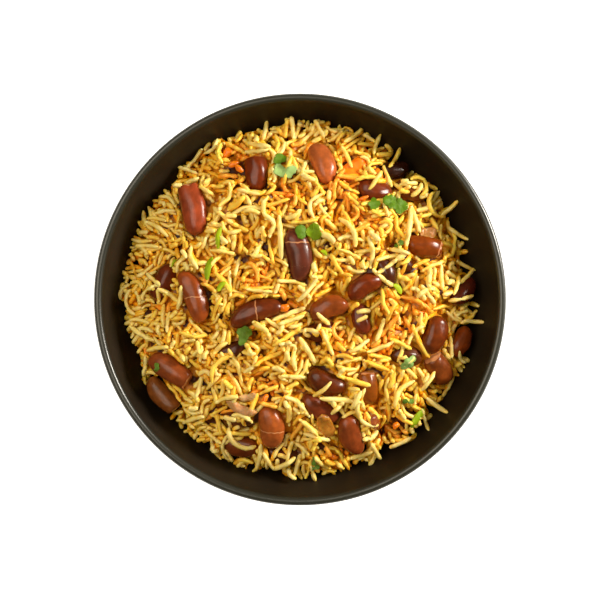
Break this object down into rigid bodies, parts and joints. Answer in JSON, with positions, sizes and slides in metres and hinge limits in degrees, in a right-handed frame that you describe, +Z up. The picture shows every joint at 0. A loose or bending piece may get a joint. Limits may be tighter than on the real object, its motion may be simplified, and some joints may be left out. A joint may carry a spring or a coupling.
{
  "type": "bowl of rice and beans",
  "caption": "Round black stoneware bowl on a foot ring, filled to an uneven dome with long-grain yellow rice and red kidney beans, with bits of tomato, onion and herb.",
  "frame": {"origin": "middle of the foot ring's underside, on the surface that the bowl stands on", "axes": "+Z up out of the bowl; +X and +Y across it, as seen from above with +X to the right"},
  "size_m": [0.155, 0.1546, 0.066],
  "materials": {
    "stoneware": "satin black glaze",
    "rice": "moist cooked grain, yellow",
    "bean_skin": "smooth moist skin, red brown",
    "tomato": "soft cooked flesh, orange red",
    "herb": "fresh leaf, green",
    "onion": "cooked, see-through, pale brown"
  },
  "bodies": {
    "root": {"bowl": "stoneware", "rice_heap": "rice", "tomato_piece": "tomato", "bean_01": "bean_skin", "bean_02": "bean_skin", "bean_03": "bean_skin", "bean_04": "bean_skin", "bean_05": "bean_skin", "bean_06": "bean_skin", "bean_07": "bean_skin", "bean_08": "bean_skin", "bean_09": "bean_skin", "bean_10": "bean_skin", "bean_11": "bean_skin", "bean_12": "bean_skin", "bean_13": "bean_skin", "bean_14": "bean_skin", "bean_15": "bean_skin", "bean_16": "bean_skin", "bean_17": "bean_skin", "bean_18": "bean_skin", "bean_19": "bean_skin", "bean_20": "bean_skin", "bean_21": "bean_skin", "bean_22": "bean_skin", "bean_23": "bean_skin", "bean_24": "bean_skin", "bean_25": "bean_skin", "bean_26": "bean_skin", "bean_27": "bean_skin", "bean_28": "bean_skin", "bean_29": "bean_skin", "bean_30": "bean_skin", "bean_31": "bean_skin", "bean_32": "bean_skin", "bean_33": "bean_skin", "bean_34": "bean_skin"}
  },
  "joints": []
}
